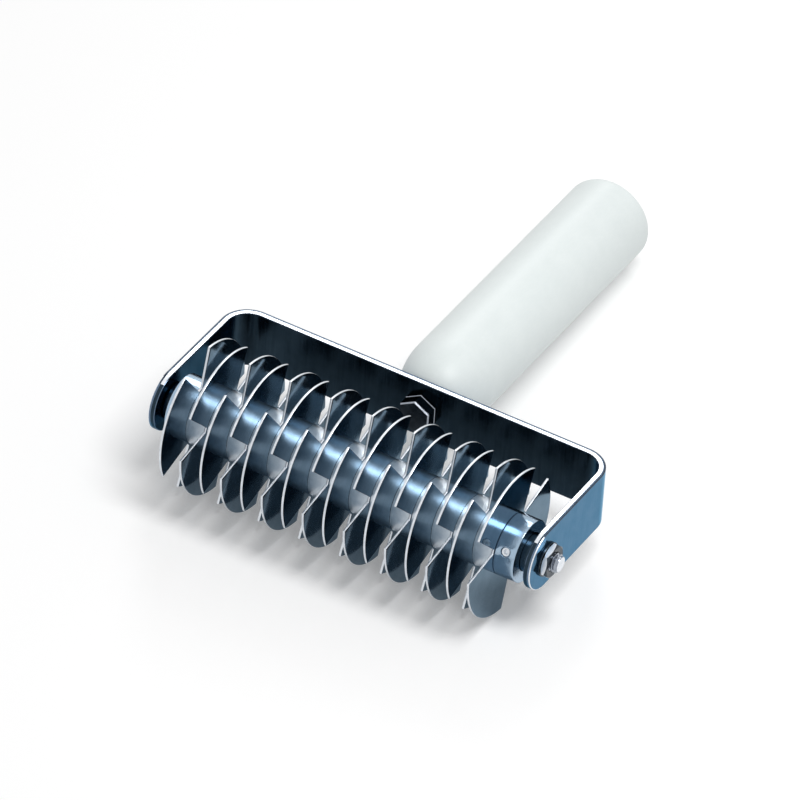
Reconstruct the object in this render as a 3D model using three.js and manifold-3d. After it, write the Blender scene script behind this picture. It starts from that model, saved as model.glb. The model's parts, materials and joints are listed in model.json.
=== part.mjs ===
// Lattice roller cutter: a roller of notched discs that turns in a bent-strip yoke, with a straight
// handle bolted to the yoke's back. Millimetres. The tool is drawn level, with the axle along X through
// the origin and the handle along +Y, and is then tipped to stand on its discs and the handle's end.
import * as THREE from "three";
import { mergeVertices } from "three/addons/utils/BufferGeometryUtils.js";
import Module from "manifold-3d";

const wasm = await Module();
wasm.setup();

// Cutting discs and the rings between them
const discCount = 16;
const discDiameter = 47.5;
const discThickness = 0.8;
const discPitch = 7.1;
const notchCount = 3;
const notchMouth = 13.8; // width at the rim
const notchRoot = 1.6; // width at the bottom
const notchLip = 0.5; // disc left between a notch and the spacer
const notchHeading = 161.6; // degrees from the handle's side towards up, on the right-hand disc
const spacerDiameter = 20;
const collarLength = 6.75;
const tubeDiameter = 12;
const tubeStand = 3; // the core tube's length outside each collar

// Set screw of each end collar
const screwDiameter = 3;
const screwHeading = 154; // degrees, counted like notchHeading
const screwSink = 0.3; // below the collar's surface
const socketWidth = 1.5; // across flats
const socketDepth = 1.2;

// Axle: a shoulder bolt with a low head outside the left arm, and its fastenings outside the right arm
const axleDiameter = 8;
const axleHeadDiameter = 10.5;
const axleHeadHeight = 1.5;
const axleThread = 6;
const axleStub = 2.1; // thread standing out past the nut
const axleChamfer = 0.6;
const nutWidth = 10; // across flats
const nutThickness = 2;
const nutHeading = 135; // degrees of one corner, counted like notchHeading
const washerDiameter = 11;
const washerThickness = 0.8;

// Yoke
const stripWidth = 20;
const stripThickness = 2.3;
const bendRadius = 7; // inside of the two bends
const backRoom = 14.75; // from the discs' rim to the yoke's back

// Handle and its bolt
const handleDiameter = 28.5;
const handleLength = 113;
const handleSeat = 12.5; // diameter of the flat on the yoke
const shoulderLength = 16; // the shoulder is a quarter of an ellipse
const handleEndRadius = 3.5; // rounding at the far end
const insertDiameter = 9;
const insertLength = 14;
const boltDiameter = 6;
const boltHeadWidth = 10; // across flats
const boltHeadHeight = 4;
const boltTipInset = 1.5; // from the bolt's tip to the insert's far end

// Clearances
const runningClearance = 0.1; // roller on axle, radial
const endPlay = 0.4; // between the core tube and each arm
const fitClearance = 0.1; // pieces slid together, radial
const seatGap = 0.3; // between faces that are drawn together by a thread

// Facets
const roundSides = 24;
const smallSides = 12;
const hexSides = 6;
const handleSides = 36;
const lobeSteps = 10;
const bendSteps = 8;
const armEndSteps = 16;
const filletSteps = 8;

// Places along the axle
const stackHalf = ((discCount - 1) * discPitch + discThickness) / 2;
const rollerHalf = stackHalf + collarLength;
const tubeHalf = rollerHalf + tubeStand;
const armInner = tubeHalf + endPlay;
const armOuter = armInner + stripThickness;
const nutInner = armOuter + washerThickness;
const axleEnd = nutInner + nutThickness + axleStub;

// Places along the handle
const discRadius = discDiameter / 2;
const backInner = discRadius + backRoom;
const backOuter = backInner + stripThickness;
const handleFront = backOuter + seatGap;
const handleRadius = handleDiameter / 2;

const spacerRadius = spacerDiameter / 2;
const tubeRadius = tubeDiameter / 2;
const axleRadius = axleDiameter / 2;
const threadRadius = axleThread / 2;
const insertRadius = insertDiameter / 2;
const boltRadius = boltDiameter / 2;

const degrees = Math.PI / 180;

// A round hole's polygon goes round the circle that has to pass through it.
const aroundCircle = (radius, sides) => radius / Math.cos(Math.PI / sides);
const acrossFlats = (width) => aroundCircle(width / 2, hexSides);

// A round arc or, with a second radius, an elliptical one.
function arc(centreX, centreY, radiusX, from, to, steps, radiusY = radiusX) {
  const points = [];
  for (let i = 0; i <= steps; i += 1) {
    const angle = (from + ((to - from) * i) / steps) * degrees;
    points.push(new THREE.Vector2(centreX + radiusX * Math.cos(angle), centreY + radiusY * Math.sin(angle)));
  }
  return points;
}

const polygon = (radius, sides) => arc(0, 0, radius, 0, 360, sides).slice(0, sides);
const boreOutline = (radius) => polygon(aroundCircle(radius, roundSides), roundSides);

// Local x, y and z of a flat outline become the tool's Y, Z and X.
const toAxle = new THREE.Matrix4().makeBasis(
  new THREE.Vector3(0, 1, 0),
  new THREE.Vector3(0, 0, 1),
  new THREE.Vector3(1, 0, 0),
);

// A prism along the axle that starts at x = 0.
function axlePrism(outline, hole, length) {
  const shape = new THREE.Shape(outline);
  if (hole) shape.holes.push(new THREE.Path(hole));
  return new THREE.ExtrudeGeometry(shape, { depth: length, bevelEnabled: false }).applyMatrix4(toAxle);
}

const ring = (outer, inner, length) => axlePrism(polygon(outer, roundSides), boreOutline(inner), length);

function solidOf(geometry) {
  const bare = geometry.clone();
  bare.deleteAttribute("normal");
  bare.deleteAttribute("uv");
  const merged = mergeVertices(bare);
  return new wasm.Manifold(
    new wasm.Mesh({
      numProp: 3,
      vertProperties: merged.attributes.position.array,
      triVerts: new Uint32Array(merged.index.array),
    }),
  );
}

function geometryOf(solid) {
  const mesh = solid.getMesh();
  const geometry = new THREE.BufferGeometry();
  geometry.setAttribute("position", new THREE.BufferAttribute(mesh.vertProperties, 3));
  geometry.setIndex(new THREE.BufferAttribute(mesh.triVerts, 1));
  geometry.computeVertexNormals();
  return geometry;
}

// One disc, with its first notch towards +Y.
function discGeometry() {
  const floor = spacerRadius + notchLip;
  const mouthAngle = Math.asin(notchMouth / 2 / discRadius) / degrees;
  const step = 360 / notchCount;
  const outline = [];
  for (let i = 0; i < notchCount; i += 1) {
    const heading = i * step;
    const turn = heading * degrees;
    const centre = new THREE.Vector2();
    outline.push(new THREE.Vector2(floor, -notchRoot / 2).rotateAround(centre, turn));
    outline.push(new THREE.Vector2(floor, notchRoot / 2).rotateAround(centre, turn));
    outline.push(...arc(0, 0, discRadius, heading + mouthAngle, heading + step - mouthAngle, lobeSteps));
  }
  return axlePrism(outline, boreOutline(tubeRadius + fitClearance), discThickness);
}

// End collar, with its screw hole towards +Y.
function collarGeometry() {
  const body = ring(spacerRadius, tubeRadius + fitClearance, collarLength);
  const holeRadius = aroundCircle(screwDiameter / 2 + fitClearance, smallSides);
  const hole = new THREE.CylinderGeometry(holeRadius, holeRadius, spacerDiameter, smallSides);
  hole.translate(collarLength / 2, spacerRadius, 0);
  return geometryOf(solidOf(body).subtract(solidOf(hole)));
}

// Set screw with a hex socket in its outer end, pointing towards +Y.
function screwGeometry() {
  const inner = tubeRadius + seatGap;
  const outer = spacerRadius - screwSink;
  const radius = screwDiameter / 2;
  const body = new THREE.CylinderGeometry(radius, radius, outer - inner, smallSides);
  body.translate(0, (inner + outer) / 2, 0);
  const socketRadius = acrossFlats(socketWidth);
  const socket = new THREE.CylinderGeometry(socketRadius, socketRadius, 2 * socketDepth, hexSides);
  socket.translate(0, outer, 0);
  return geometryOf(solidOf(body).subtract(solidOf(socket)));
}

// The head bears on the left arm and the shoulder on the right arm, so the arms aren't squeezed together.
function axleGeometry() {
  const headTop = -armOuter - axleHeadHeight;
  const headRadius = axleHeadDiameter / 2;
  const profile = [
    new THREE.Vector2(0, headTop),
    new THREE.Vector2(headRadius - axleChamfer, headTop),
    new THREE.Vector2(headRadius, headTop + axleChamfer),
    new THREE.Vector2(headRadius, -armOuter),
    new THREE.Vector2(axleRadius, -armOuter),
    new THREE.Vector2(axleRadius, armInner),
    new THREE.Vector2(threadRadius, armInner),
    new THREE.Vector2(threadRadius, axleEnd - axleChamfer),
    new THREE.Vector2(threadRadius - axleChamfer, axleEnd),
    new THREE.Vector2(0, axleEnd),
  ];
  return new THREE.LatheGeometry(profile, roundSides).rotateZ(-90 * degrees);
}

const nutGeometry = () =>
  axlePrism(polygon(acrossFlats(nutWidth), hexSides), boreOutline(threadRadius + fitClearance), nutThickness);

// The strip's plan, bent to a U, is trimmed to the side view of the arms and drilled.
function yokeGeometry() {
  const endRadius = stripWidth / 2;
  const bendX = armInner - bendRadius;
  const bendY = backInner - bendRadius;
  const outerBend = bendRadius + stripThickness;
  const plan = new THREE.Shape([
    new THREE.Vector2(armOuter, -endRadius),
    ...arc(bendX, bendY, outerBend, 0, 90, bendSteps),
    ...arc(-bendX, bendY, outerBend, 90, 180, bendSteps),
    new THREE.Vector2(-armOuter, -endRadius),
    new THREE.Vector2(-armInner, -endRadius),
    ...arc(-bendX, bendY, bendRadius, 180, 90, bendSteps),
    ...arc(bendX, bendY, bendRadius, 90, 0, bendSteps),
    new THREE.Vector2(armInner, -endRadius),
  ]);
  const blank = new THREE.ExtrudeGeometry(plan, { depth: 2 * stripWidth, bevelEnabled: false });
  blank.translate(0, 0, -stripWidth);
  const sideOutline = [
    ...arc(0, 0, endRadius, 90, 270, armEndSteps),
    new THREE.Vector2(backOuter + stripThickness, -endRadius),
    new THREE.Vector2(backOuter + stripThickness, endRadius),
  ];
  const pastArm = armOuter + stripThickness;
  const side = axlePrism(sideOutline, null, 2 * pastArm).translate(-pastArm, 0, 0);
  const leftHole = axlePrism(boreOutline(axleRadius + fitClearance), null, pastArm).translate(-pastArm, 0, 0);
  const rightHole = axlePrism(boreOutline(threadRadius + fitClearance), null, pastArm);
  const boltHoleRadius = aroundCircle(boltRadius + fitClearance, roundSides);
  const boltHole = new THREE.CylinderGeometry(boltHoleRadius, boltHoleRadius, 2 * stripThickness, roundSides);
  boltHole.translate(0, (backInner + backOuter) / 2, 0);
  const strip = solidOf(blank).intersect(solidOf(side));
  const drilled = strip.subtract(solidOf(leftHole)).subtract(solidOf(rightHole));
  return geometryOf(drilled.subtract(solidOf(boltHole)));
}

// Turned about the handle's own axis from its seat on the yoke, with a pocket for the insert.
function handleGeometry() {
  const pocketRadius = aroundCircle(insertRadius + fitClearance, handleSides);
  const pocketDepth = insertLength + seatGap;
  const seatRadius = handleSeat / 2;
  const shoulderDrop = handleRadius - seatRadius;
  const endX = handleRadius - handleEndRadius;
  const profile = [
    new THREE.Vector2(0, pocketDepth),
    new THREE.Vector2(pocketRadius, pocketDepth),
    new THREE.Vector2(pocketRadius, 0),
    ...arc(seatRadius, shoulderLength, shoulderDrop, -90, 0, filletSteps, shoulderLength),
    ...arc(endX, handleLength - handleEndRadius, handleEndRadius, 0, 90, filletSteps),
    new THREE.Vector2(0, handleLength),
  ];
  return new THREE.LatheGeometry(profile, handleSides);
}

function insertGeometry() {
  const boreRadius = aroundCircle(boltRadius + fitClearance, roundSides);
  const profile = [
    new THREE.Vector2(boreRadius, 0),
    new THREE.Vector2(insertRadius, 0),
    new THREE.Vector2(insertRadius, insertLength),
    new THREE.Vector2(boreRadius, insertLength),
    new THREE.Vector2(boreRadius, 0),
  ];
  return new THREE.LatheGeometry(profile, roundSides);
}

// Hex bolt from inside the yoke's back, with a corner of its head upwards.
function boltGeometry() {
  const seat = backInner - seatGap;
  const tip = handleFront + insertLength - boltTipInset;
  const headRadius = acrossFlats(boltHeadWidth);
  const head = new THREE.CylinderGeometry(headRadius, headRadius, boltHeadHeight, hexSides);
  head.translate(0, seat - boltHeadHeight / 2, 0);
  const shankStart = seat - boltHeadHeight / 2;
  const shank = new THREE.CylinderGeometry(boltRadius, boltRadius, tip - shankStart, roundSides);
  shank.translate(0, (tip + shankStart) / 2, 0);
  return geometryOf(solidOf(head).add(solidOf(shank)));
}

const finish = (color, roughness, metalness) =>
  new THREE.MeshStandardMaterial({ color, roughness, metalness });
const polishedSteel = () => finish(0xc9ced3, 0.12, 1);
const platedSteel = () => finish(0xc4c4c0, 0.28, 1);
const brass = () => finish(0xc9a556, 0.35, 1);
const whitePlastic = () => finish(0xe4ecea, 0.45, 0);

const tool = new THREE.Group();

function add(name, geometry, material, { x = 0, y = 0, heading = 0 } = {}) {
  const mesh = new THREE.Mesh(geometry, material);
  mesh.name = name;
  mesh.position.set(x, y, 0);
  mesh.rotation.x = heading * degrees;
  tool.add(mesh);
}

const numbered = (name, i) => `${name}_${String(i + 1).padStart(2, "0")}`;

add("yoke", yokeGeometry(), polishedSteel());
add("handle", handleGeometry(), whitePlastic(), { y: handleFront });
add("handle_insert", insertGeometry(), brass(), { y: handleFront });
add("handle_bolt", boltGeometry(), platedSteel());
add("axle", axleGeometry(), platedSteel());

const tube = ring(tubeRadius, axleRadius + runningClearance, 2 * tubeHalf);
add("core_tube", tube, polishedSteel(), { x: -tubeHalf });

const washer = ring(washerDiameter / 2, threadRadius + fitClearance, washerThickness);
add("axle_washer", washer, platedSteel(), { x: armOuter });
add("axle_nut", nutGeometry(), platedSteel(), { x: nutInner, heading: nutHeading });

// Every second disc is turned by half a notch spacing, so that the slits are staggered.
for (let i = 0; i < discCount; i += 1) {
  const stagger = (discCount - 1 - i) % 2 === 0 ? 0 : 180 / notchCount;
  const x = i * discPitch - stackHalf;
  add(numbered("cutting_disc", i), discGeometry(), polishedSteel(), { x, heading: notchHeading + stagger });
}

for (let i = 0; i < discCount - 1; i += 1) {
  const x = i * discPitch + discThickness - stackHalf;
  const length = discPitch - discThickness;
  add(numbered("spacer", i), ring(spacerRadius, tubeRadius + fitClearance, length), polishedSteel(), { x });
}

for (const [side, collarX] of [
  ["left", -rollerHalf],
  ["right", stackHalf],
]) {
  add(`end_collar_${side}`, collarGeometry(), polishedSteel(), { x: collarX, heading: screwHeading });
  const screwX = collarX + collarLength / 2;
  add(`collar_screw_${side}`, screwGeometry(), platedSteel(), { x: screwX, heading: screwHeading });
}

// The tool stands on its discs and on the rounding of the handle's end, which droops by this angle.
const endY = handleFront + handleLength - handleEndRadius;
const endZ = handleRadius - handleEndRadius;
const droop = Math.asin((discRadius - handleEndRadius) / Math.hypot(endY, endZ)) - Math.atan2(endZ, endY);
tool.rotation.x = -droop;

const standing = new THREE.Box3().setFromObject(tool, true);
const middle = standing.getCenter(new THREE.Vector3());
tool.position.set(-middle.x, -middle.y, -standing.min.z);

const part = new THREE.Group();
part.add(tool);

export default part;
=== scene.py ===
import json
import math

import bmesh
import bpy
from mathutils import Matrix, Vector


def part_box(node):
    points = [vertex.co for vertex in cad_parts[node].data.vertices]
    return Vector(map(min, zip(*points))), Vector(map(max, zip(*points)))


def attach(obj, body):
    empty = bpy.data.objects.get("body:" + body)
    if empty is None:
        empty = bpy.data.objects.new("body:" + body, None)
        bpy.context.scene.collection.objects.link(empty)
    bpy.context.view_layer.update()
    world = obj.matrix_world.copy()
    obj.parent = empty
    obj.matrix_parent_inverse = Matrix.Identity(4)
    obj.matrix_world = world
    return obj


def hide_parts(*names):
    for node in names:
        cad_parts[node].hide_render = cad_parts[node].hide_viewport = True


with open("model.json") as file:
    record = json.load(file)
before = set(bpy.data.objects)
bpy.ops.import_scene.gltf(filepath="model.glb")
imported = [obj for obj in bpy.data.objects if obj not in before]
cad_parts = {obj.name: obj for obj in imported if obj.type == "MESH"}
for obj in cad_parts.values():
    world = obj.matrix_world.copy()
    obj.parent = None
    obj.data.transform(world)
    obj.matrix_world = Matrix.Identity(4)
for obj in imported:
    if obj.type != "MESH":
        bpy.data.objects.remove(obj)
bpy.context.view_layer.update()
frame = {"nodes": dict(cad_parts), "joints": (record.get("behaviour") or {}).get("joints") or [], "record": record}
scene = bpy.context.scene
print("frame loaded with", len(frame["nodes"]), "nodes")

# Pieces are drawn in millimetres, with the axle along X through the origin and the handle along +Y.
# toolFrame then sets them into the frame, in metres.
mmPerMetre = 1000
tolerance = 0.01  # millimetres within which two places count as one
weld = 0.002  # millimetres within which vertices are merged
rollerSpin = frame["joints"][0]
axlePlace = Vector(rollerSpin["pos_m"])
axleWay = Vector(rollerSpin["axis"])
handleWay = Vector(frame["record"]["mounts"][0]["axis"])
toolFrame = (
    Matrix.Translation(axlePlace)
    @ Matrix((axleWay, handleWay, axleWay.cross(handleWay))).transposed().to_4x4()
    @ Matrix.Scale(1 / mmPerMetre, 4)
)

camera = {
    "azimuth": 28.659,  # round the tool, from the roller's front towards its right end
    "elevation": 39.502,
    "roll": 3.814,
    "distance": 2766.2,
    "pixelsPerMm": 3.3683,  # at the axle's centre
    "centreX": 354.353,  # where the axle's centre falls in the picture
    "centreY": 477.225,
    "picture": 800,
    "sensor": 36,
    "clip": (0.05, 50),  # metres
}


def addCamera():
    az, el, roll = (math.radians(camera[k]) for k in ("azimuth", "elevation", "roll"))
    back = Vector((math.sin(az) * math.cos(el), -math.cos(az) * math.cos(el), math.sin(el)))
    level = Vector((math.cos(az), math.sin(az), 0))
    right = math.cos(roll) * level + math.sin(roll) * back.cross(level)
    up = back.cross(right)
    focal = camera["pixelsPerMm"] * camera["distance"]
    half = camera["picture"] / 2
    # turned from the axle's centre to the middle of the picture, so that no shift is needed
    sideways, upwards = (half - camera["centreX"]) / focal, (camera["centreY"] - half) / focal
    aim = -back + right * sideways + up * upwards
    away = -aim.normalized()
    across = up.cross(away).normalized()
    turn = Matrix((across, away.cross(across), away)).transposed().to_4x4()
    lens = bpy.data.cameras.new("photoCamera")
    lens.sensor_width = camera["sensor"]
    lens.lens = focal / camera["picture"] * camera["sensor"]
    lens.clip_start, lens.clip_end = camera["clip"]
    holder = bpy.data.objects.new("photoCamera", lens)
    place = toolFrame @ Matrix.Translation(back * camera["distance"]) @ turn
    holder.matrix_world = Matrix.LocRotScale(place.to_translation(), place.to_quaternion(), None)
    scene.collection.objects.link(holder)
    scene.camera = holder


addCamera()
print("camera set")


def put(tree, kind, inputs=None, **settings):  # adds a node, with values or links on its inputs
    node = tree.nodes.new("ShaderNode" + kind)
    for key, value in settings.items():
        setattr(node, key, value)
    for key, value in (inputs or {}).items():
        if isinstance(value, bpy.types.NodeSocket):
            tree.links.new(value, node.inputs[key])
        else:
            node.inputs[key].default_value = value
    return node


def newGroup(name, inputs, output):
    group = bpy.data.node_groups.new(name, "ShaderNodeTree")
    for label, kind in inputs.items():
        group.interface.new_socket(label, in_out="INPUT", socket_type="NodeSocket" + kind)
    group.interface.new_socket(output, in_out="OUTPUT", socket_type="NodeSocketFloat")
    start = group.nodes.new("NodeGroupInput")
    end = group.nodes.new("NodeGroupOutput")
    return group, start.outputs, end.inputs[output]


def placeGroup(tree, group, inputs):
    return put(tree, "Group", inputs, node_tree=group).outputs[0]


noiseGrain = 0.6  # how strongly each finer octave shows


def noiseValue(tree, vector, detail, low, high):  # noise drawn apart to run from 0 to 1
    noise = put(tree, "TexNoise", {"Vector": vector, "Scale": 1, "Detail": detail, "Roughness": noiseGrain})
    spread = put(tree, "MapRange", {"Value": noise.outputs[0], "From Min": low, "From Max": high})
    return spread.outputs[0]


def makePolishLines():  # fine marks drawn out along the direction in which Stretch is small
    group, given, out = newGroup("polishLines", {"Vector": "Vector", "Stretch": "Vector"}, "Lines")
    drawn = put(group, "VectorMath", {0: given["Vector"], 1: given["Stretch"]}, operation="MULTIPLY")
    group.links.new(noiseValue(group, drawn.outputs[0], detail=4, low=0.32, high=0.68), out)
    return group


def makeTurningLines():  # rings round the axle, as a lathe leaves them on round and flat faces
    group, given, out = newGroup("turningLines", {"Vector": "Vector", "Density": "Float"}, "Lines")
    parts = put(group, "SeparateXYZ", {0: given["Vector"]})
    flat = put(group, "CombineXYZ", {1: parts.outputs[1], 2: parts.outputs[2]})
    radius = put(group, "VectorMath", {0: flat.outputs[0]}, operation="LENGTH")
    ways = put(group, "CombineXYZ", {0: parts.outputs[0], 1: radius.outputs["Value"]})
    drawn = put(group, "VectorMath", {0: ways.outputs[0], "Scale": given["Density"]}, operation="SCALE")
    group.links.new(noiseValue(group, drawn.outputs[0], detail=3, low=0.3, high=0.7), out)
    return group


def makeMottling():  # soft cloudy change of tone
    group, given, out = newGroup("mottling", {"Vector": "Vector", "Size": "Float"}, "Tone")
    share = put(group, "Math", {0: 1, 1: given["Size"]}, operation="DIVIDE")
    drawn = put(group, "VectorMath", {0: given["Vector"], "Scale": share.outputs[0]}, operation="SCALE")
    group.links.new(noiseValue(group, drawn.outputs[0], detail=3, low=0.34, high=0.66), out)
    return group


polishLines, turningLines, mottling = makePolishLines(), makeTurningLines(), makeMottling()
markDepth = 0.00002  # metres, of the marks that the bump shows


# A look runs from dark to light by clouds of a size in millimetres and by marks, lineShare being the share
# of the marks. The marks are rings round the axle, or lines with a density along X, Y and Z.
def finish(name, look):
    material = bpy.data.materials.new(name)
    material.use_nodes = True
    tree = material.node_tree
    shader = tree.nodes["Principled BSDF"]
    # millimetres along and across the tool, from the axle's centre
    place = put(tree, "Mapping", {
        "Vector": put(tree, "TexCoord").outputs["Object"],
        "Location": axlePlace,
        "Rotation": (math.atan2(handleWay.z, handleWay.y), 0, 0),
        "Scale": [1 / mmPerMetre] * 3,
    }, vector_type="TEXTURE").outputs[0]
    if "rings" in look:
        lines = placeGroup(tree, turningLines, {"Vector": place, "Density": look["rings"]})
    else:
        lines = placeGroup(tree, polishLines, {"Vector": place, "Stretch": look["stretch"]})
    tone = placeGroup(tree, mottling, {"Vector": place, "Size": look["cloud"]})
    blend = put(tree, "Mix", {0: look["lineShare"], 2: tone, 3: lines}, data_type="FLOAT").outputs[0]
    shades = {0: blend, 6: (*look["dark"], 1), 7: (*look["light"], 1)}
    color = put(tree, "Mix", shades, data_type="RGBA").outputs[2]
    smoothest, roughest = look["roughness"]
    rough = put(tree, "MapRange", {"Value": blend, "To Min": smoothest, "To Max": roughest}).outputs[0]
    bump = put(tree, "Bump", {"Height": lines, "Strength": look["bump"], "Distance": markDepth}).outputs[0]
    tree.links.new(color, shader.inputs["Base Color"])
    tree.links.new(rough, shader.inputs["Roughness"])
    tree.links.new(bump, shader.inputs["Normal"])
    shader.inputs["Metallic"].default_value = look["metal"]
    if "grazing" in look:  # tint of what the metal shows at a low angle
        shader.inputs["Specular Tint"].default_value = (*look["grazing"], 1)
    return material


stripSteel = finish("stripSteel", {  # the yoke's outer faces, with faint marks across the strip; the dark blue base paints the dark reflections of polished steel
    "dark": (0.1, 0.15, 0.222), "light": (0.15, 0.202, 0.285), "grazing": (0.5, 0.8, 1), "metal": 1,
    "cloud": 4, "stretch": (2.2, 2.2, 0.08), "lineShare": 0.5, "roughness": (0.1, 0.22), "bump": 0.12,
})
stripShade = finish("stripShade", {  # painted shade: the strip's steel made darker and a little rougher, on its inner faces and the arms' ends
    "dark": (0.016, 0.029, 0.042), "light": (0.032, 0.052, 0.071), "grazing": (0.5, 0.65, 0.8), "metal": 1,
    "cloud": 6, "stretch": (1.2, 1.2, 0.06), "lineShare": 0.6, "roughness": (0.14, 0.26), "bump": 0.15,
})
cornerDarkReflection = finish("cornerDarkReflection", {  # painted dark reflection: the dark line along the strip's corners
    "dark": (0.03, 0.045, 0.07), "light": (0.06, 0.085, 0.12), "metal": 1,
    "cloud": 3, "stretch": (1, 1, 1), "lineShare": 0.4, "roughness": (0.2, 0.35), "bump": 0.1,
})
edgeHighlight = finish("edgeHighlight", {  # painted highlight: bright steel on the strip's edges, the nut's flats and the axle's cut end; the collar screws are drawn in it too
    "dark": (0.66, 0.7, 0.76), "light": (0.86, 0.88, 0.9), "metal": 1,
    "cloud": 2, "stretch": (6, 1, 1), "lineShare": 0.5, "roughness": (0.25, 0.4), "bump": 0.15,
})
# the disc faces' dark blue base paints the dark reflections of polished steel
discSteel = finish("discSteel", {
    "dark": (0.1, 0.135, 0.172), "light": (0.16, 0.2, 0.245), "grazing": (0.75, 0.9, 1), "metal": 1,
    "cloud": 5, "rings": 3, "lineShare": 0.4, "roughness": (0.06, 0.14), "bump": 0.08,
})
discRimHighlight = finish("discRimHighlight", {  # painted highlight round the lobes and down the notches
    "dark": (0.55, 0.59, 0.64), "light": (0.78, 0.81, 0.85), "metal": 1,
    "cloud": 2, "stretch": (6, 1, 1), "lineShare": 0.5, "roughness": (0.25, 0.4), "bump": 0.15,
})
turnedSteel = finish("turnedSteel", {
    "dark": (0.6, 0.67, 0.74), "light": (0.8, 0.86, 0.92), "metal": 1,
    "cloud": 3, "rings": 7, "lineShare": 0.5, "roughness": (0.3, 0.42), "bump": 0.2,
})
# darker and bluer than the spacers' steel: the base paints the collars' dark reflections
collarSteel = finish("collarSteel", {
    "dark": (0.31, 0.42, 0.54), "light": (0.4, 0.52, 0.64), "metal": 1,
    "cloud": 7, "rings": 6, "lineShare": 0.7, "roughness": (0.14, 0.22), "bump": 0.15,
})
platedSteel = finish("platedSteel", {
    "dark": (0.24, 0.265, 0.31), "light": (0.38, 0.41, 0.46), "metal": 1,
    "cloud": 1.5, "stretch": (3, 3, 3), "lineShare": 0.4, "roughness": (0.14, 0.26), "bump": 0.1,
})
fastenerShade = finish("fastenerShade", {  # painted shade: near-black steel on the bolt's head, the nut's faces and the washer
    "dark": (0.025, 0.033, 0.042), "light": (0.055, 0.07, 0.085), "metal": 1,
    "cloud": 2, "stretch": (3, 3, 3), "lineShare": 0.4, "roughness": (0.14, 0.28), "bump": 0.15,
})
turnedBrass = finish("turnedBrass", {
    "dark": (0.45, 0.29, 0.08), "light": (0.66, 0.46, 0.16), "metal": 1,
    "cloud": 2, "stretch": (2, 8, 2), "lineShare": 0.5, "roughness": (0.25, 0.4), "bump": 0.2,
})
whitePlastic = finish("whitePlastic", {  # moulded, with a fine grain and faint marks along the grip
    "dark": (0.765, 0.825, 0.82), "light": (0.815, 0.87, 0.865), "metal": 0,
    "cloud": 9, "stretch": (2.5, 0.5, 2.5), "lineShare": 0.4, "roughness": (0.38, 0.52), "bump": 0.12,
})
print("materials made")


def spanOf(node):  # where a node starts and ends along the axle, in millimetres
    low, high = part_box(node)
    return (low.x - axlePlace.x) * mmPerMetre, (high.x - axlePlace.x) * mmPerMetre


def addPiece(name, bm, node, body, materials, smoothUpTo=32):
    bmesh.ops.transform(bm, matrix=toolFrame, verts=bm.verts)
    mesh = bpy.data.meshes.new(name)
    bm.to_mesh(mesh)
    bm.free()
    for material in materials:
        mesh.materials.append(material)
    mesh.shade_smooth()
    mesh.set_sharp_from_angle(angle=math.radians(smoothUpTo))
    piece = bpy.data.objects.new(name, mesh)
    scene.collection.objects.link(piece)
    even = piece.modifiers.new("evenShading", "WEIGHTED_NORMAL")  # keeps flat faces flat beside round edges
    even.keep_sharp = True
    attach(piece, body)
    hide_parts(node)


def vertsIn(geom):
    return [g for g in geom if isinstance(g, bmesh.types.BMVert)]


def edgesIn(geom):
    return [g for g in geom if isinstance(g, bmesh.types.BMEdge)]


def facesIn(geom):
    return [g for g in geom if isinstance(g, bmesh.types.BMFace)]


def fromAxle(place):  # how far a place lies from the axle's centre line
    return math.hypot(place.y, place.z)


sharpFrom = math.radians(60)  # turn between two faces that makes a sharp edge


def sharpEdges(bm, test=lambda edge: True):
    return [e for e in bm.edges if e.is_manifold and e.calc_face_angle() > sharpFrom and test(e)]


def roundEdges(bm, edges, offset, segments=2):
    made = bmesh.ops.bevel(bm, geom=edges, offset=offset, offset_type="OFFSET", segments=segments,
                           profile=0.5, affect="EDGES", clamp_overlap=True, material=-1)
    return made["faces"]


def turnAboutAxle(bm, degrees):
    turn = Matrix.Rotation(math.radians(degrees), 3, "X")
    bmesh.ops.rotate(bm, verts=bm.verts, cent=(0, 0, 0), matrix=turn)


def loopAt(bm, x, radius, corners, cuts=0):  # closed loop of edges round the axle, first corner towards +Y
    known = set(bm.edges)
    first = bm.verts.new((x, radius, 0))
    bmesh.ops.spin(bm, geom=[first], cent=(0, 0, 0), axis=(1, 0, 0), angle=2 * math.pi,
                   steps=corners, use_merge=True)
    if cuts:
        bmesh.ops.subdivide_edges(bm, edges=[e for e in bm.edges if e not in known], cuts=cuts)
    return [e for e in bm.edges if e not in known]


def hexAt(bm, x, corner, sides):  # hexagon cut into as many edges as a circle of that many sides
    return loopAt(bm, x, corner, 6, sides // 6 - 1)


def hexCorner(width):  # from the centre to a corner, for a width across flats
    return width / 2 / math.cos(math.pi / 6)


def loopVerts(loop):
    return list(dict.fromkeys(v for e in loop for v in e.verts))


def joinLoops(bm, loops):
    for near, far in zip(loops, loops[1:]):
        bmesh.ops.bridge_loops(bm, edges=near + far)


def capLoop(bm, loop):
    bmesh.ops.edgeloop_fill(bm, edges=loop)


def spinProfile(profile, axis, sides, closed):
    bm = bmesh.new()
    verts = [bm.verts.new(p) for p in profile]
    pairs = list(zip(verts, verts[1:]))
    if closed:
        pairs.append((verts[-1], verts[0]))
    edges = [bm.edges.new(pair) for pair in pairs]
    bmesh.ops.spin(bm, geom=verts + edges, cent=(0, 0, 0), axis=axis, angle=2 * math.pi,
                   steps=sides, use_merge=True)
    bmesh.ops.remove_doubles(bm, verts=bm.verts, dist=weld)
    bmesh.ops.recalc_face_normals(bm, faces=bm.faces)
    return bm


def ringBody(start, end, ring):
    inner, outer = ring["inner"] / 2, ring["outer"] / 2
    profile = [(start, 0, inner), (start, 0, outer), (end, 0, outer), (end, 0, inner)]
    bm = spinProfile(profile, (1, 0, 0), ring["sides"], True)
    roundEdges(bm, sharpEdges(bm), ring["corner"])
    return bm


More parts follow.
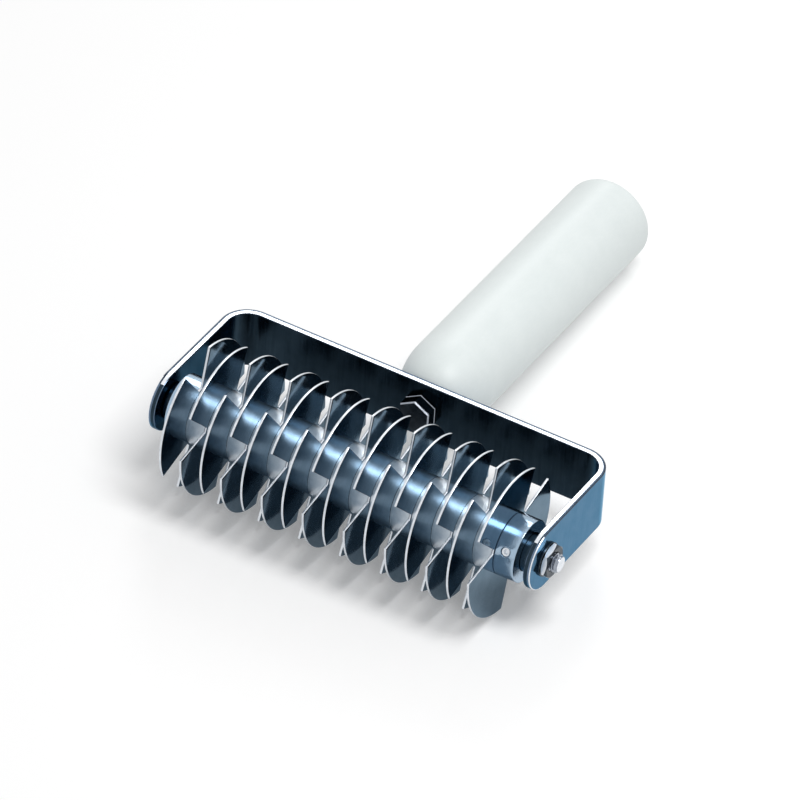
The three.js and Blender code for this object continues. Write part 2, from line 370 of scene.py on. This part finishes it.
disc = {
    "diameter": 47.5,
    "notches": 3,
    "mouth": 13.8,  # notch width at the rim
    "root": 1.6,  # notch width at its bottom
    "floor": 10.5,  # radius of the notch's bottom
    "bore": 12.2,
    "heading": 161.6,  # of the right-hand disc's first notch, from +Y towards +Z
    "edge": 0.2,  # rounding of the rim
    "flatFrom": 0.6,  # a normal with more than this along the axle is on a flat side
    "lobeSteps": 44,
    "boreSides": 48,
}


def discBody(start, end, heading):
    bm = bmesh.new()
    radius, notches = disc["diameter"] / 2, disc["notches"]
    lobe = 2 * math.pi / notches
    mouthHalf = math.asin(disc["mouth"] / 2 / radius)
    rootStart = bm.verts.new((start, disc["floor"], -disc["root"] / 2))
    rootEnd = bm.verts.new((start, disc["floor"], disc["root"] / 2))
    rimStart = bm.verts.new((start, radius * math.cos(mouthHalf), radius * math.sin(mouthHalf)))
    turned = bmesh.ops.spin(bm, geom=[rimStart], cent=(0, 0, 0), axis=(1, 0, 0),
                            angle=lobe - 2 * mouthHalf, steps=disc["lobeSteps"])
    rimEnd = vertsIn(turned["geom_last"])[0]
    nextRoot = bm.verts.new(Matrix.Rotation(lobe, 3, "X") @ rootStart.co)
    for pair in ((rootStart, rootEnd), (rootEnd, rimStart), (rimEnd, nextRoot)):
        bm.edges.new(pair)
    bmesh.ops.spin(bm, geom=bm.verts[:] + bm.edges[:], cent=(0, 0, 0), axis=(1, 0, 0),
                   angle=lobe * (notches - 1), steps=notches - 1, use_duplicate=True)
    bmesh.ops.remove_doubles(bm, verts=bm.verts, dist=weld)
    loopAt(bm, start, disc["bore"] / 2, disc["boreSides"])
    bmesh.ops.triangle_fill(bm, use_beauty=True, edges=bm.edges[:], normal=(1, 0, 0))
    far = bmesh.ops.extrude_face_region(bm, geom=bm.faces[:])["geom"]
    bmesh.ops.translate(bm, vec=(end - start, 0, 0), verts=vertsIn(far))
    bmesh.ops.recalc_face_normals(bm, faces=bm.faces)
    outside = (disc["bore"] / 2 + disc["floor"]) / 2  # between the bore and the notches
    rim = sharpEdges(bm, lambda e: all(fromAxle(v.co) > outside for v in e.verts)
                     and abs(e.verts[0].co.x - e.verts[1].co.x) < tolerance)
    roundEdges(bm, rim, disc["edge"])
    # flat sides get the dark disc steel with its painted reflections, the rim and notch edges the painted
    # highlight
    for face in bm.faces:
        face.material_index = 0 if abs(face.normal.x) > disc["flatFrom"] else 1
    turnAboutAxle(bm, heading)
    return bm


discNodes = sorted(n for n in frame["nodes"] if n.startswith("cutting_disc"))
for count, node in enumerate(discNodes, 1):
    stagger = 180 / disc["notches"] * ((len(discNodes) - count) % 2)
    addPiece(f"cuttingDisc{count:02d}", discBody(*spanOf(node), disc["heading"] + stagger), node, "roller",
             [discSteel, discRimHighlight])
print("cutting discs:", len(discNodes))

spacer = {"outer": 20, "inner": 12.2, "corner": 0.15, "sides": 96}
coreTube = {"outer": 12, "inner": 8.2, "corner": 0.2, "sides": 48}
collar = {
    "outer": 20,
    "inner": 12.2,
    "corner": 0.25,
    "cornerSteps": 3,
    "sides": 72,
    "hole": 3.2,
    "holeFloor": 6.25,  # radius of the hole's flat bottom
    "holeLip": 0.12,
    "patch": 2.4,  # half the width of the surface that is rebuilt round the hole
    "patchSides": 4,  # faces of the ring to each side of the hole
    "heading": 154,
}
collarScrew = {
    "diameter": 3,
    "inner": 6.3,
    "outer": 9.7,
    "socket": 1.5,  # across flats
    "socketDepth": 1.2,
    "chamfer": 0.25,
    "dish": 0.05,  # fall of the end towards the socket
    "sides": 24,
}

spacerNodes = sorted(n for n in frame["nodes"] if n.startswith("spacer"))
for count, node in enumerate(spacerNodes, 1):
    addPiece(f"spacerRing{count:02d}", ringBody(*spanOf(node), spacer), node, "roller",
             [turnedSteel])
addPiece("coreTube", ringBody(*spanOf("core_tube"), coreTube), "core_tube", "roller",
         [stripShade])


def collarBody(start, end):
    middle, outer, inner = (start + end) / 2, collar["outer"] / 2, collar["inner"] / 2
    patch, steps = collar["patch"], collar["patchSides"]
    across = [(middle + patch * i / 2, outer, 0) for i in range(-2, 3)]
    profile = [(start, inner, 0), (start, outer, 0), *across, (end, outer, 0), (end, inner, 0)]
    bm = spinProfile(profile, (1, 0, 0), collar["sides"], True)
    roundEdges(bm, sharpEdges(bm), collar["corner"], collar["cornerSteps"])
    # the faces round the hole give way to a ring of faces between their outline and the hole
    reach = 2 * math.pi / collar["sides"] * (steps + 0.5)  # half a side past the patch

    def inPatch(place):
        near = abs(place.x - middle) < patch + tolerance and abs(math.atan2(place.z, place.y)) < reach
        return near and fromAxle(place) > outer - tolerance

    gone = [f for f in bm.faces if all(inPatch(v.co) for v in f.verts)]
    bmesh.ops.delete(bm, geom=gone, context="FACES")
    rim = [e for e in bm.edges if e.is_boundary]
    known = set(bm.edges)
    first = bm.verts.new((middle + collar["hole"] / 2, outer, 0))
    bmesh.ops.spin(bm, geom=[first], cent=(middle, outer, 0), axis=(0, 1, 0), angle=2 * math.pi,
                   steps=len(rim), use_merge=True)
    hole = [e for e in bm.edges if e not in known]
    for v in loopVerts(hole):
        v.co.y = math.sqrt(outer ** 2 - v.co.z ** 2)
    bmesh.ops.bridge_loops(bm, edges=rim + hole)
    wall = bmesh.ops.extrude_edge_only(bm, edges=hole)["geom"]
    for v in vertsIn(wall):
        v.co.y = collar["holeFloor"]
    capLoop(bm, edgesIn(wall))
    bmesh.ops.recalc_face_normals(bm, faces=bm.faces)
    roundEdges(bm, hole, collar["holeLip"])
    turnAboutAxle(bm, collar["heading"])
    return bm


def screwBody(middle):
    bm = bmesh.new()
    radius, corner = collarScrew["diameter"] / 2, hexCorner(collarScrew["socket"])
    top, chamfer, sides = collarScrew["outer"], collarScrew["chamfer"], collarScrew["sides"]
    loops = [
        loopAt(bm, collarScrew["inner"], radius, sides),
        loopAt(bm, top - chamfer, radius, sides),
        loopAt(bm, top, radius - chamfer, sides),
        hexAt(bm, top - collarScrew["dish"], corner, sides),
        hexAt(bm, top - collarScrew["socketDepth"], corner, sides),
    ]
    joinLoops(bm, loops)
    capLoop(bm, loops[0])
    capLoop(bm, loops[-1])
    bmesh.ops.recalc_face_normals(bm, faces=bm.faces)
    # drawn along X, and turned to stand along +Y
    bmesh.ops.rotate(bm, verts=bm.verts, cent=(0, 0, 0), matrix=Matrix.Rotation(math.pi / 2, 3, "Z"))
    bmesh.ops.translate(bm, vec=(middle, 0, 0), verts=bm.verts)
    turnAboutAxle(bm, collar["heading"])
    return bm


for side in ("left", "right"):
    start, end = spanOf(f"end_collar_{side}")
    addPiece(f"endCollar{side.title()}", collarBody(start, end), f"end_collar_{side}", "roller",
             [collarSteel])
    addPiece(f"collarScrew{side.title()}", screwBody((start + end) / 2), f"collar_screw_{side}", "roller",
             [edgeHighlight])
print("spacers:", len(spacerNodes), "and two collars with their screws")

axle = {
    "shaft": 8,
    "head": 10.5,
    "headHeight": 1.5,
    "headChamfer": 0.6,
    "thread": 6,
    "threadLength": 7.2,  # from the right arm's inner face to the end
    "pitch": 1,
    "threadDepth": 0.5,
    "crestGap": 0.03,  # between the thread's crests and its full diameter
    "spareTurns": 3,  # drawn past the ends, which are then cut square
    "cutSnap": 0.0001,  # within which a vertex lies on the cut
    "chamfer": 0.6,
    "undercut": 0.1,  # of the faces that stand square on the shaft
    "cutFrom": 0.9,  # a normal with more than this along the axle is on the cut end
    "steps": 48,
}
nut = {
    "width": 10,
    "face": 9.5,  # diameter of the flat end inside the chamfer
    "bore": 6.1,
    "chamferSlope": 30,
    "boreChamfer": 0.4,
    "dish": 0.05,  # fall of the ends towards the bore
    "heading": 135,
    "flatUpTo": 0.1,  # a normal with less than this along the axle is on a flat
    "sides": 48,
}
washer = {"outer": 11, "inner": 6.3, "corner": 0.15, "sides": 64}


def threadBody(start, end):  # open at its start
    bm = bmesh.new()
    pitch, spare = axle["pitch"], axle["spareTurns"]
    crest = axle["thread"] / 2 - axle["crestGap"]
    root = crest - axle["threadDepth"]
    turns = math.ceil((end - start) / pitch) + spare
    begin = start - spare / 2 * pitch
    # share of a turn along the axle, and radius
    flank = [(0, root), (0.12, root), (0.48, crest), (0.64, crest), (1, root)]
    verts = [bm.verts.new((begin + along * pitch, radius, 0)) for along, radius in flank]
    edges = [bm.edges.new(pair) for pair in zip(verts, verts[1:])]
    bmesh.ops.spin(bm, geom=verts + edges, cent=(0, 0, 0), axis=(1, 0, 0), angle=2 * math.pi * turns,
                   steps=axle["steps"] * turns, dvec=(pitch / axle["steps"], 0, 0))
    bmesh.ops.remove_doubles(bm, verts=bm.verts, dist=weld)
    for x, way in ((start, -1), (end, 1)):
        bmesh.ops.bisect_plane(bm, geom=bm.verts[:] + bm.edges[:] + bm.faces[:], dist=axle["cutSnap"],
                               plane_co=(x, 0, 0), plane_no=(way, 0, 0), clear_outer=True)
    for v in bm.verts:  # the last turns run out on the chamfer
        room = crest - axle["chamfer"] + end - v.co.x
        reach = fromAxle(v.co)
        if reach > room:
            v.co.y, v.co.z = v.co.y * room / reach, v.co.z * room / reach
    tip = [e for e in bm.edges if e.is_boundary and all(abs(v.co.x - end) < tolerance for v in e.verts)]
    bmesh.ops.holes_fill(bm, edges=tip, sides=0)
    return bm


def axleBody():  # low round head, plain shaft, and a thinner threaded end
    low, end = spanOf("axle")
    start, seat = end - axle["threadLength"], low + axle["headHeight"]
    head, lip = axle["head"] / 2, axle["headChamfer"]
    bm = threadBody(start - axle["undercut"], end)
    loops = [
        [e for e in bm.edges if e.is_boundary],
        loopAt(bm, start, axle["shaft"] / 2, axle["steps"]),
        loopAt(bm, seat - axle["undercut"], axle["shaft"] / 2, axle["steps"]),
        loopAt(bm, seat, head, axle["steps"]),
        loopAt(bm, low + lip, head, axle["steps"]),
        loopAt(bm, low, head - lip, axle["steps"]),
    ]
    joinLoops(bm, loops)
    capLoop(bm, loops[-1])
    bmesh.ops.recalc_face_normals(bm, faces=bm.faces)
    for face in bm.faces:  # painted highlight on the threaded end's cut face
        atTip = face.calc_center_median().x > end - axle["chamfer"]
        face.material_index = 1 if atTip and face.normal.x > axle["cutFrom"] else 0
    return bm


def chamferedHex(bm, x, way):  # one end of the nut, whose corners are turned down by a cone
    loop = hexAt(bm, x, hexCorner(nut["width"]), nut["sides"])
    slope = math.tan(math.radians(nut["chamferSlope"]))
    for v in loopVerts(loop):
        v.co.x += way * max(0, fromAxle(v.co) - nut["face"] / 2) * slope
    return loop


def nutBody(start, end):
    bm = bmesh.new()
    faceRadius, bore, lip, dish = nut["face"] / 2, nut["bore"] / 2, nut["boreChamfer"], nut["dish"]
    sides = nut["sides"]
    loops = [
        loopAt(bm, start + lip, bore, sides),
        loopAt(bm, start + dish, bore + lip, sides),
        loopAt(bm, start, faceRadius, sides),
        chamferedHex(bm, start, 1),
        chamferedHex(bm, end, -1),
        loopAt(bm, end, faceRadius, sides),
        loopAt(bm, end - dish, bore + lip, sides),
        loopAt(bm, end - lip, bore, sides),
    ]
    joinLoops(bm, [*loops, loops[0]])
    bmesh.ops.recalc_face_normals(bm, faces=bm.faces)
    for face in bm.faces:  # painted highlight on the flats, painted shade on the end faces
        outer = fromAxle(face.calc_center_median()) > faceRadius
        face.material_index = 1 if outer and abs(face.normal.x) < nut["flatUpTo"] else 0
    turnAboutAxle(bm, nut["heading"])
    return bm


addPiece("axleRod", axleBody(), "axle", "frame", [platedSteel, edgeHighlight])
addPiece("axleNut", nutBody(*spanOf("axle_nut")), "axle_nut", "frame", [fastenerShade, edgeHighlight])
addPiece("axleWasher", ringBody(*spanOf("axle_washer"), washer), "axle_washer", "frame",
         [fastenerShade])
print("axle, nut and washer made")

yoke = {
    "strip": 20,
    "thick": 2.3,
    "bend": 7,  # inside radius
    "back": 38.5,  # inner face of the back
    "threadHole": 6.2,  # right arm
    "shaftHole": 8.2,  # left arm
    "boltHole": 6.2,
    "corner": 0.3,
    "highlightShare": 0.62,  # share of the strip's thickness, from the inside, that carries the painted highlight
    "highlightReach": 5,  # how far the painted highlight runs on round the arms' ends, past the axle
    "highlightFrom": 2,  # past the axle, from where the corners round the arms' ends lose the painted dark line and, outside, carry the painted highlight
    "alongFrom": 0.5,  # a normal with more than this along an axis faces along it
    "bendSteps": 20,
    "endSteps": 56,
    "holeSides": 32,
}
armInner = spanOf("yoke")[1] - yoke["thick"]  # inner face of the right arm
bendX, bendY = armInner - yoke["bend"], yoke["back"] - yoke["bend"]  # middle of the right bend
insideYoke = Vector((0, bendY / 2))
outerFace, shadedFace, highlightFace, darkReflectionFace = range(4)  # the yoke's materials


def openFaces(bm, axisIndex, place):  # takes away the faces that lie in one cross-section
    gone = [f for f in bm.faces if all(abs(v.co[axisIndex] - place) < tolerance for v in f.verts)]
    bmesh.ops.delete(bm, geom=gone, context="FACES_ONLY")


def thicken(bm, faces, by):
    far = bmesh.ops.extrude_face_region(bm, geom=faces)["geom"]
    bmesh.ops.translate(bm, vec=by, verts=vertsIn(far))


def drawArm(bm):  # right arm with its round end and axle hole, open towards the bend
    half = yoke["strip"] / 2
    top = bm.verts.new((armInner, 0, half))
    swept = bmesh.ops.spin(bm, geom=[top], cent=(armInner, 0, 0), axis=(1, 0, 0), angle=math.pi,
                           steps=yoke["endSteps"])
    bottom = vertsIn(swept["geom_last"])[0]
    farTop = bm.verts.new((armInner, bendY, half))
    farBottom = bm.verts.new((armInner, bendY, -half))
    for pair in ((top, farTop), (farTop, farBottom), (farBottom, bottom)):
        bm.edges.new(pair)
    loopAt(bm, armInner, yoke["threadHole"] / 2, yoke["holeSides"])
    bmesh.ops.triangle_fill(bm, use_beauty=True, edges=bm.edges[:], normal=(1, 0, 0))
    thicken(bm, bm.faces[:], (yoke["thick"], 0, 0))
    openFaces(bm, 1, bendY)


def drawBend(bm):
    section = [e for e in bm.edges if all(abs(v.co.y - bendY) < tolerance for v in e.verts)]
    bmesh.ops.spin(bm, geom=section, cent=(bendX, bendY, 0), axis=(0, 0, 1), angle=math.pi / 2,
                   steps=yoke["bendSteps"])


def drawHalfBack(bm):  # from the middle to the right bend, with half of the bolt hole
    known, half, back = set(bm.edges), yoke["strip"] / 2, yoke["back"]
    holeTop = bm.verts.new((0, back, yoke["boltHole"] / 2))
    swept = bmesh.ops.spin(bm, geom=[holeTop], cent=(0, back, 0), axis=(0, 1, 0), angle=math.pi,
                           steps=yoke["holeSides"] // 2)
    holeBottom = vertsIn(swept["geom_last"])[0]
    corners = ((0, half), (bendX, half), (bendX, -half), (0, -half))
    outline = [holeTop, *(bm.verts.new((x, back, z)) for x, z in corners), holeBottom]
    for pair in zip(outline, outline[1:]):
        bm.edges.new(pair)
    made = bmesh.ops.triangle_fill(bm, use_beauty=True, edges=[e for e in bm.edges if e not in known],
                                   normal=(0, 1, 0))
    thicken(bm, facesIn(made["geom"]), (0, yoke["thick"], 0))
    openFaces(bm, 0, bendX)
    openFaces(bm, 0, 0)


def splitEdges(bm):  # one cut along the strip's edges, where their painted highlight ends
    half, hole = yoke["strip"] / 2, yoke["boltHole"] / 2

    def onOutline(place):
        straight = fromAxle(place) > half - tolerance and abs(place.z) > hole + tolerance
        return straight or place.y < -half / 2

    crossing = [e for e in bm.edges if abs(e.calc_length() - yoke["thick"]) < tolerance
                and all(onOutline(v.co) for v in e.verts)]
    spots = []
    for e in crossing:
        near, far = sorted((v.co.copy() for v in e.verts), key=lambda c: (c.xy - insideYoke).length)
        spots.append(((near + far) / 2, near.lerp(far, yoke["highlightShare"])))
    made = bmesh.ops.subdivide_edges(bm, edges=crossing, cuts=1)["geom_inner"]
    for v in vertsIn(made):
        v.co = min(spots, key=lambda spot: (spot[0] - v.co).length)[1]


def depthInStrip(place):  # from the strip's inner faces
    x, y = abs(place.x), place.y
    if x > bendX and y > bendY:
        return math.hypot(x - bendX, y - bendY) - yoke["bend"]
    return max(x - armInner, y - yoke["back"])


def facesAlong(face, axisIndex):
    return abs(face.normal[axisIndex]) > yoke["alongFrom"]


def paintStrip(bm):
    # painted shade on the inner faces; on the edges a painted highlight on the inner share and a painted dark line
    # on the outer share
    for face in bm.faces:
        centre = face.calc_center_median()
        broad = facesAlong(face, 0) if centre.y < bendY else not facesAlong(face, 2)
        if broad:
            inwards = (insideYoke - centre.xy).dot(face.normal.xy) > 0
            face.material_index = shadedFace if inwards else outerFace
        elif depthInStrip(centre) < yoke["thick"] * yoke["highlightShare"]:
            face.material_index = shadedFace if centre.y < -yoke["highlightReach"] else highlightFace
        else:
            face.material_index = outerFace if centre.y < -yoke["highlightReach"] else darkReflectionFace


def yokeBody():
    bm = bmesh.new()
    drawArm(bm)
    drawBend(bm)
    drawHalfBack(bm)
    bmesh.ops.remove_doubles(bm, verts=bm.verts, dist=weld)
    bmesh.ops.mirror(bm, geom=bm.verts[:] + bm.edges[:] + bm.faces[:], axis="X", merge_dist=weld)
    bmesh.ops.remove_doubles(bm, verts=bm.verts, dist=weld)
    bmesh.ops.recalc_face_normals(bm, faces=bm.faces)
    # the left arm's hole takes the axle's shaft, so it is wider
    wider, hole = yoke["shaftHole"] / yoke["threadHole"], yoke["threadHole"] / 2
    leftHole = [v for v in bm.verts if v.co.x < 0 and fromAxle(v.co) < hole + tolerance]
    bmesh.ops.scale(bm, vec=(1, wider, wider), verts=leftHole)
    splitEdges(bm)
    paintStrip(bm)
    # corners carry a painted dark line along the strip, and round the arms' ends a painted highlight outside
    for face in roundEdges(bm, sharpEdges(bm), yoke["corner"]):
        centre = face.calc_center_median()
        paintedEndCorner = highlightFace if abs(centre.x) > armInner + yoke["thick"] / 2 else outerFace
        face.material_index = paintedEndCorner if centre.y < -yoke["highlightFrom"] else darkReflectionFace
    return bm


addPiece("yokeStrip", yokeBody(), "yoke", "frame",
         [stripSteel, stripShade, edgeHighlight, cornerDarkReflection])
print("yoke made")

handle = {
    "diameter": 28.5,
    "length": 113,
    "front": 41.1,
    "seat": 12.5,  # flat against the yoke
    "shoulder": 16,  # length of the elliptical shoulder
    "shoulderSteps": 24,
    "endRound": 3.5,
    "endSteps": 12,
    "pocket": 9.2,
    "pocketDepth": 14.3,
    "sides": 96,
}
insert = {"outer": 9, "inner": 6.2, "length": 14, "corner": 0.2, "sides": 48}
bolt = {
    "width": 10,
    "height": 4,
    "edge": (0.35, 0.5),  # front chamfer, inwards and back
    "lip": 0.18,  # of the flared seat
    "undercut": 0.1,  # of the seat, round the shank
    "seat": 38.2,
    "shank": 6,
    "tip": 53.6,
    "tipChamfer": 0.6,
    "paintedHighlight": (0.2, 0.98),  # a normal between these along the bolt is on one of the head's edges, which carry a painted highlight
    "sides": 48,
}


def handleBody():
    front, end = handle["front"], handle["front"] + handle["length"]
    radius, pocket, seat = handle["diameter"] / 2, handle["pocket"] / 2, handle["seat"] / 2
    deep = front + handle["pocketDepth"]
    shoulder = []
    for i in range(handle["shoulderSteps"] + 1):
        turn = math.pi / 2 * i / handle["shoulderSteps"]
        back = handle["shoulder"] * (1 - math.cos(turn))
        shoulder.append((seat + (radius - seat) * math.sin(turn), front + back, 0))
    socket = [(0, deep, 0), (pocket, deep, 0), (pocket, front, 0)]
    profile = [*socket, *shoulder, (radius, end, 0), (0, end, 0)]
    bm = spinProfile(profile, (0, 1, 0), handle["sides"], False)
    rim = sharpEdges(bm, lambda e: all(abs(v.co.y - end) < tolerance for v in e.verts))
    roundEdges(bm, rim, handle["endRound"], handle["endSteps"])
    return bm


def insertBody():
    front, end = handle["front"], handle["front"] + insert["length"]
    outer, inner = insert["outer"] / 2, insert["inner"] / 2
    profile = [(inner, front, 0), (outer, front, 0), (outer, end, 0), (inner, end, 0)]
    bm = spinProfile(profile, (0, 1, 0), insert["sides"], True)
    roundEdges(bm, sharpEdges(bm), insert["corner"])
    return bm


def boltBody():
    bm = bmesh.new()
    corner, shank, sides = hexCorner(bolt["width"]), bolt["shank"] / 2, bolt["sides"]
    seat, lip, tip, chamfer = bolt["seat"], bolt["lip"], bolt["tip"], bolt["tipChamfer"]
    edgeIn, edgeBack = bolt["edge"]
    front = seat - bolt["height"]
    loops = [
        hexAt(bm, front, corner - edgeIn, sides),
        hexAt(bm, front + edgeBack, corner, sides),
        hexAt(bm, seat - 1.5 * lip, corner, sides),
        hexAt(bm, seat - lip / 2, corner + lip, sides),
        hexAt(bm, seat, corner + lip, sides),
        loopAt(bm, seat - bolt["undercut"], shank, sides),
        loopAt(bm, tip - chamfer, shank, sides),
        loopAt(bm, tip, shank - chamfer, sides),
    ]
    joinLoops(bm, loops)
    capLoop(bm, loops[0])
    capLoop(bm, loops[-1])
    bmesh.ops.recalc_face_normals(bm, faces=bm.faces)
    least, most = bolt["paintedHighlight"]
    for face in bm.faces:  # painted highlight on the head's edges
        onHead = face.calc_center_median().x < seat
        face.material_index = 1 if onHead and least < abs(face.normal.x) < most else 0
    # drawn along X with a corner of the head towards +Y, turned to lie along +Y with that corner up
    turn = Matrix(((0, 0, 1), (1, 0, 0), (0, 1, 0)))
    bmesh.ops.rotate(bm, verts=bm.verts, cent=(0, 0, 0), matrix=turn)
    return bm


addPiece("handleGrip", handleBody(), "handle", "frame", [whitePlastic])
addPiece("gripInsert", insertBody(), "handle_insert", "frame", [turnedBrass])
addPiece("gripBolt", boltBody(), "handle_bolt", "frame", [fastenerShade, platedSteel],
         smoothUpTo=20)
print("handle, insert and bolt made")

studio = {
    "floorSize": 6,
    "floorColor": (0.85, 0.85, 0.85),
    "floorGlow": 0.21,  # what the floor shows by itself, under the lamps' share
    "worldLevel": 0.37,  # on the tool; the camera and reflections see it white
    "aim": (0, -0.03, 0.02),
}
lamps = {  # direction from the tool, distance and size in metres, and power
    "topLamp": {"way": (-0.37, 0.717, 0.591), "away": 1.2, "size": (0.3, 0.5), "watts": 2.1},
    "overheadLamp": {"way": (0.32, -0.02, 0.947), "away": 1.1, "size": (0.35, 0.6), "watts": 7.3},
}


def seenDirectly(tree):  # 1 for what the camera, a reflection or glass shows
    path = put(tree, "LightPath").outputs
    first = put(tree, "Math", {0: path["Is Camera Ray"], 1: path["Is Glossy Ray"]}, operation="MAXIMUM")
    both = {0: first.outputs[0], 1: path["Is Transmission Ray"]}
    return put(tree, "Math", both, operation="MAXIMUM").outputs[0]


def addFloor():
    bm = bmesh.new()
    bmesh.ops.create_grid(bm, x_segments=1, y_segments=1, size=studio["floorSize"] / 2)
    mesh = bpy.data.meshes.new("studioFloor")
    bm.to_mesh(mesh)
    bm.free()
    material = bpy.data.materials.new("floorPaper")
    material.use_nodes = True
    tree = material.node_tree
    tree.nodes.clear()
    matt = put(tree, "BsdfDiffuse", {"Color": (*studio["floorColor"], 1)})
    level = put(tree, "Math", {0: seenDirectly(tree), 1: studio["floorGlow"]}, operation="MULTIPLY")
    glow = put(tree, "Emission", {"Strength": level.outputs[0]})
    both = put(tree, "AddShader", {0: matt.outputs[0], 1: glow.outputs[0]})
    put(tree, "OutputMaterial", {"Surface": both.outputs[0]})
    mesh.materials.append(material)
    floor = bpy.data.objects.new("studioFloor", mesh)
    scene.collection.objects.link(floor)


def addWorld():
    world = bpy.data.worlds.new("studioWorld")
    scene.world = world
    world.use_nodes = True
    tree = world.node_tree
    seen = {"Value": seenDirectly(tree), "To Min": studio["worldLevel"], "To Max": 1}
    shader = tree.nodes["Background"]
    shader.inputs["Color"].default_value = (1, 1, 1, 1)
    tree.links.new(put(tree, "MapRange", seen).outputs[0], shader.inputs["Strength"])


def addLamp(name, lamp):
    light = bpy.data.lights.new(name, "AREA")
    light.shape = "RECTANGLE"
    light.size, light.size_y = lamp["size"]
    light.energy = lamp["watts"]
    holder = bpy.data.objects.new(name, light)
    way = Vector(lamp["way"]).normalized()
    holder.location = Vector(studio["aim"]) + way * lamp["away"]
    holder.rotation_euler = way.to_track_quat("Z", "Y").to_euler()
    holder.visible_camera = False
    scene.collection.objects.link(holder)


addFloor()
addWorld()
for name, lamp in lamps.items():
    addLamp(name, lamp)
scene.view_settings.view_transform = "Standard"
print("studio set")
